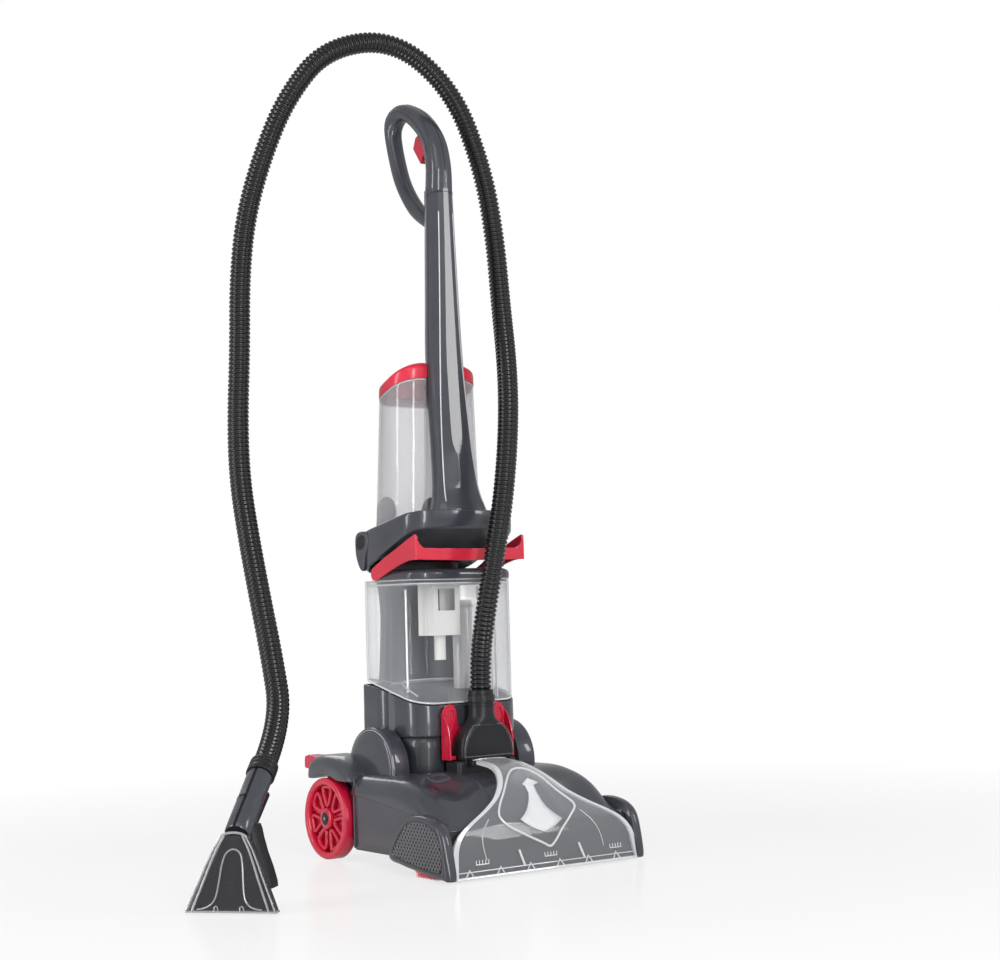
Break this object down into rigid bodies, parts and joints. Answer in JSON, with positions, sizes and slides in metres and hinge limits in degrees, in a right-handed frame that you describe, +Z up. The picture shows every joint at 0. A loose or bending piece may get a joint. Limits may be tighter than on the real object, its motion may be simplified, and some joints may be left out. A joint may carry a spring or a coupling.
{
  "type": "carpet cleaner machine",
  "caption": "Upright carpet cleaner: wheeled base with clear suction nozzle and brushes, reclining tower with clean and dirty water tanks, loop handle, hose and hand tool.",
  "frame": {"origin": "on the floor under the middle of the machine without its hose and hand tool", "axes": "+Z up, -Y is the way the nozzle faces, +X is on the right of someone who stands in front of the nozzle and looks at the machine"},
  "size_m": [0.6521, 0.4197, 1.1508],
  "materials": {
    "black_plastic": "satin moulded",
    "grey_plastic": "satin moulded, slightly glossy",
    "window_plastic": "textured moulded",
    "clear_plastic": "clear moulded",
    "tank_plastic": "clear moulded",
    "red_bristle": "nylon bristle",
    "red_plastic": "glossy moulded",
    "white_plastic": "moulded",
    "brush_plastic": "moulded with nylon tufts",
    "steel": "plain",
    "motor_iron": "plain",
    "fan_aluminium": "plain",
    "black_rubber": "plain",
    "hose_rubber": "corrugated"
  },
  "bodies": {
    "base": {"base_chassis": "black_plastic", "base_hood": "grey_plastic", "nozzle_frame": "grey_plastic", "side_windows": "window_plastic", "nozzle_back": "black_plastic", "nozzle_cover": "clear_plastic", "port_block": "black_plastic", "edge_brushes": "red_bristle", "wheel_axle": "steel", "trunnion_covers": "grey_plastic", "pedal_pin": "steel", "brush_motor": "motor_iron", "drive_belt": "black_rubber", "brush_guides": "black_plastic", "spray_bar": "black_plastic", "hose_adapter": "black_plastic", "base_screws": "steel", "hose": "hose_rubber", "tool_cuff": "black_plastic", "tool_grip_left": "grey_plastic", "tool_grip_right": "grey_plastic", "tool_hood": "clear_plastic", "tool_head": "black_plastic"},
    "wheel_left_body": {"wheel_left": "red_plastic"},
    "wheel_right_body": {"wheel_right": "red_plastic"},
    "pedal": {"recline_pedal": "red_plastic"},
    "crank": {"crank_pulley": "black_plastic"},
    "brush_pulley": {"motor_pulley": "black_plastic"},
    "outer_brush": {"brush_outer": "brush_plastic"},
    "inner_brush": {"brush_inner": "brush_plastic"},
    "door": {"port_door": "red_plastic"},
    "tower": {"lower_casing_front": "grey_plastic", "lower_casing_rear": "grey_plastic", "recline_pins": "black_plastic", "motor_mount": "black_plastic", "suction_motor": "motor_iron", "fan_case": "black_plastic", "water_pump": "black_plastic", "spine": "grey_plastic", "collar": "grey_plastic", "column_front": "grey_plastic", "column_rear": "grey_plastic", "grip_left": "grey_plastic", "grip_right": "grey_plastic"},
    "switch": {"power_switch": "red_plastic"},
    "fan": {"suction_fan": "fan_aluminium"},
    "dirty_tank": {"recovery_tank": "tank_plastic", "tank_lid": "black_plastic", "lid_gasket": "black_rubber", "float_cage": "white_plastic"},
    "bail": {"bail_handle": "red_plastic"},
    "float_body": {"float": "red_plastic"},
    "fresh_tank": {"clean_tank": "tank_plastic", "clean_lid": "red_plastic"},
    "valve": {"tank_valve": "black_plastic"},
    "trigger": {"grip_trigger": "red_plastic"},
    "rod": {"trigger_rod": "steel"},
    "hook": {"cord_hook": "black_plastic"},
    "tool_trigger": {"tool_lever": "black_plastic"}
  },
  "joints": [
    {"name": "wheel_left_spin", "type": "hinge", "parent": "base", "child": "wheel_left_body", "pos_m": [-0.142, 0.117, 0.055], "axis": [1, 0, 0], "continuous": true},
    {"name": "wheel_right_spin", "type": "hinge", "parent": "base", "child": "wheel_right_body", "pos_m": [0.142, 0.117, 0.055], "axis": [1, 0, 0], "continuous": true},
    {"name": "pedal_press", "type": "hinge", "parent": "base", "child": "pedal", "pos_m": [-0.134, 0.157, 0.122], "axis": [-1, 0, 0], "range_deg": [0, 12], "stiffness_Nm_per_rad": 0.8, "springref_deg": -4.58},
    {"name": "crank_spin", "type": "hinge", "parent": "base", "child": "crank", "pos_m": [0, -0.125, 0.055], "axis": [0, 0, 1], "continuous": true},
    {"name": "brush_pulley_spin", "type": "hinge", "parent": "base", "child": "brush_pulley", "pos_m": [0.062, -0.052, 0.063], "axis": [0, 0, 1], "continuous": true},
    {"name": "outer_brush_slide", "type": "slide", "parent": "base", "child": "outer_brush", "axis": [1, 0, 0], "range_m": [-0.005, 0.005]},
    {"name": "inner_brush_slide", "type": "slide", "parent": "base", "child": "inner_brush", "axis": [1, 0, 0], "range_m": [-0.005, 0.005]},
    {"name": "door_fold", "type": "hinge", "parent": "base", "child": "door", "pos_m": [0, -0.0262, 0.1346], "axis": [1, 0, 0], "range_deg": [0, 2]},
    {"name": "tower_recline", "type": "hinge", "parent": "base", "child": "tower", "pos_m": [0, 0.05, 0.122], "axis": [-1, 0, 0], "range_deg": [0, 45]},
    {"name": "switch_rock", "type": "hinge", "parent": "tower", "child": "switch", "pos_m": [0.04, 0.1195, 0.178], "axis": [1, 0, 0], "range_deg": [-8, 8]},
    {"name": "fan_spin", "type": "hinge", "parent": "tower", "child": "fan", "pos_m": [0, 0.05, 0.155], "axis": [0, 0, 1], "continuous": true},
    {"name": "dirty_tank_tilt", "type": "hinge", "parent": "tower", "child": "dirty_tank", "pos_m": [0, -0.02, 0.2077], "axis": [1, 0, 0], "range_deg": [0, 6]},
    {"name": "bail_swing", "type": "hinge", "parent": "dirty_tank", "child": "bail", "pos_m": [0, 0.076, 0.386], "axis": [1, 0, 0], "range_deg": [0, 25]},
    {"name": "float_rise", "type": "slide", "parent": "dirty_tank", "child": "float_body", "axis": [0, 0, 1], "range_m": [0, 0.04]},
    {"name": "fresh_tank_lift", "type": "slide", "parent": "tower", "child": "fresh_tank", "axis": [0, 0, 1], "range_m": [0, 0.1]},
    {"name": "valve_push", "type": "slide", "parent": "fresh_tank", "child": "valve", "axis": [0, 0, 1], "range_m": [0, 0.004], "stiffness_N_per_m": 120, "springref_m": -0.004},
    {"name": "trigger_squeeze", "type": "hinge", "parent": "tower", "child": "trigger", "pos_m": [0, 0.051, 1.01], "axis": [-1, 0, 0], "range_deg": [0, 6]},
    {"name": "trigger_rod_lift", "type": "slide", "parent": "tower", "child": "rod", "axis": [0, 0.042, 0.9991], "range_m": [0, 0.0028], "stiffness_N_per_m": 1500, "springref_m": -0.002},
    {"name": "cord_hook_turn", "type": "hinge", "parent": "tower", "child": "hook", "pos_m": [0, 0.048, 0.85], "axis": [0, 1, 0], "range_deg": [0, 180]},
    {"name": "tool_trigger_squeeze", "type": "hinge", "parent": "base", "child": "tool_trigger", "pos_m": [-0.41048, -0.14866, 0.08558], "axis": [0.6561, -0.7547, 0], "range_deg": [0, 4.5], "stiffness_Nm_per_rad": 0.4, "springref_deg": -8.59}
  ],
  "couplings": [
    {"joint": "brush_pulley_spin", "follows": "crank_spin", "ratio": 2.125},
    {"joint": "inner_brush_slide", "follows": "outer_brush_slide", "ratio": -1},
    {"joint": "trigger_squeeze", "follows": "trigger_rod_lift", "rad_per_m": 37.037}
  ]
}
